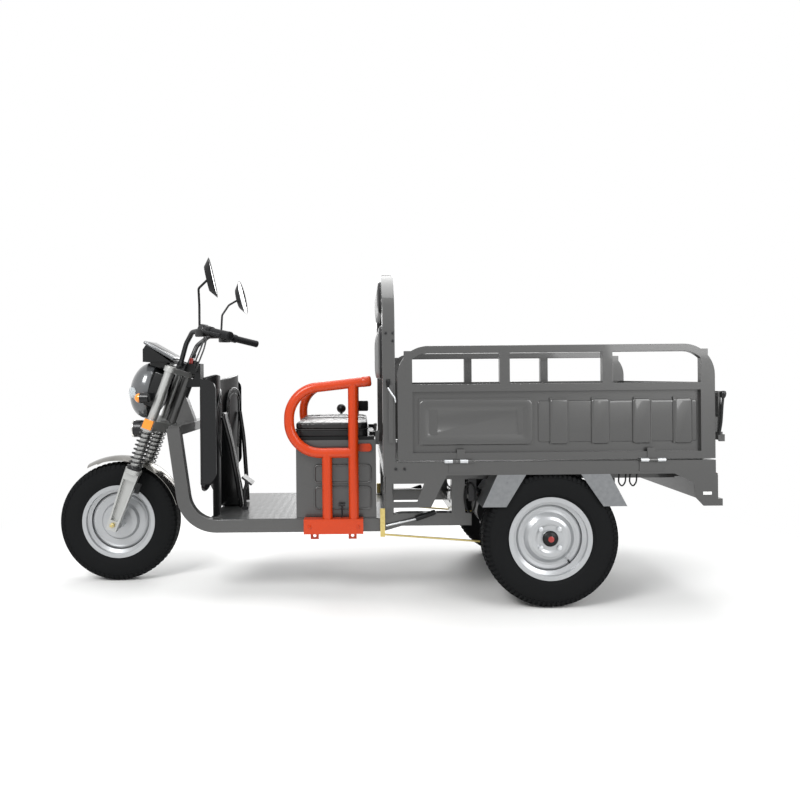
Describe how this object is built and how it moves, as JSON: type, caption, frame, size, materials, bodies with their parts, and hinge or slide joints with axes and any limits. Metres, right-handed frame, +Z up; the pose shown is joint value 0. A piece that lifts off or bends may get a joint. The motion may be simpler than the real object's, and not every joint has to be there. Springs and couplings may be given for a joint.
{
  "type": "electric cargo tricycle",
  "caption": "Open cargo tricycle with a single steered front wheel, footboard, seat box, backrest hoop and a bed with drop-down gates.",
  "frame": {"origin": "on the ground under the middle of the whole vehicle's bounding box", "axes": "+Z up, -X is the way the vehicle drives, +Y towards its right side"},
  "size_m": [2.8398, 0.99, 1.4368],
  "materials": {
    "rim_silver": "silver gloss",
    "tyre_rubber": "matte",
    "fork_silver": "satin",
    "black_paint": "black satin",
    "bright_chrome": "polished",
    "grey_plastic": "gloss",
    "clear_lens": "clear",
    "amber_lens": "gloss",
    "black_plastic": "satin",
    "black_rubber": "matte",
    "mirror_set": "polished glass in black backs",
    "grey_paint": "metallic dark grey gloss",
    "black_vinyl": "gloss film",
    "orange_paint": "orange gloss",
    "red_lens": "gloss",
    "spring_steel": "dark",
    "zinc_steel": "yellow zinc"
  },
  "bodies": {
    "chassis": {"main_frame": "grey_paint", "floor_plate": "grey_paint", "leg_shield": "black_plastic", "brake_pedal": "black_paint", "seat_box": "grey_paint", "battery_pack": "black_plastic", "side_guards": "orange_paint", "hand_lever": "black_plastic", "backrest_hoop": "grey_paint", "backrest_pads": "black_vinyl", "bed_frame": "grey_paint", "bed_floor": "grey_paint", "front_board": "grey_paint", "side_skirts": "grey_paint", "rear_mudguards": "grey_paint", "rear_bumper": "grey_paint", "tail_lamps": "red_lens", "rear_axle": "black_paint", "drive_motor": "black_paint", "leaf_springs": "spring_steel", "brake_linkage": "zinc_steel"},
    "steering": {"fork_yokes": "fork_silver", "fork_legs": "fork_silver", "fork_springs": "black_paint", "front_mudguard": "bright_chrome", "headlamp_shell": "grey_plastic", "headlamp_lens": "clear_lens", "turn_signals": "amber_lens", "horn": "black_paint", "instrument_panel": "black_plastic", "steering_cover": "black_plastic", "handlebar": "black_paint", "hand_controls": "black_rubber", "mirrors": "mirror_set"},
    "front_wheel": {"front_rim": "rim_silver", "front_tyre": "tyre_rubber"},
    "rear_wheel_left": {"rear_rim_left": "rim_silver", "rear_tyre_left": "tyre_rubber"},
    "rear_wheel_right": {"rear_rim_right": "rim_silver", "rear_tyre_right": "tyre_rubber"},
    "side_gate_left": {"side_gate_left": "grey_paint"},
    "side_gate_right": {"side_gate_right": "grey_paint"},
    "tailgate": {"tailgate": "grey_paint"},
    "seat": {"seat_base": "black_plastic", "seat_cushion": "black_vinyl"}
  },
  "joints": [
    {"name": "steering_turn", "type": "hinge", "parent": "chassis", "child": "steering", "pos_m": [-0.86949, 0, 0.83047], "axis": [0.3502, 0, 0.9367], "range_deg": [-40, 40]},
    {"name": "front_wheel_spin", "type": "hinge", "parent": "steering", "child": "front_wheel", "pos_m": [-1.1475, 0, 0.2725], "axis": [0, 1, 0], "continuous": true},
    {"name": "rear_wheel_left_spin", "type": "hinge", "parent": "chassis", "child": "rear_wheel_left", "pos_m": [0.7305, -0.415, 0.275], "axis": [0, 1, 0], "continuous": true},
    {"name": "rear_wheel_right_spin", "type": "hinge", "parent": "chassis", "child": "rear_wheel_right", "pos_m": [0.7305, 0.415, 0.275], "axis": [0, 1, 0], "continuous": true},
    {"name": "side_gate_left_hinge", "type": "hinge", "parent": "chassis", "child": "side_gate_left", "pos_m": [0.75, -0.488, 0.593], "axis": [1, 0, 0], "range_deg": [0, 180]},
    {"name": "side_gate_right_hinge", "type": "hinge", "parent": "chassis", "child": "side_gate_right", "pos_m": [0.75, 0.488, 0.593], "axis": [-1, 0, 0], "range_deg": [0, 180]},
    {"name": "tailgate_hinge", "type": "hinge", "parent": "chassis", "child": "tailgate", "pos_m": [1.388, 0, 0.593], "axis": [0, 1, 0], "range_deg": [0, 170]},
    {"name": "seat_hinge", "type": "hinge", "parent": "chassis", "child": "seat", "pos_m": [0.045, 0, 0.69], "axis": [0, 1, 0], "range_deg": [0, 60]}
  ]
}
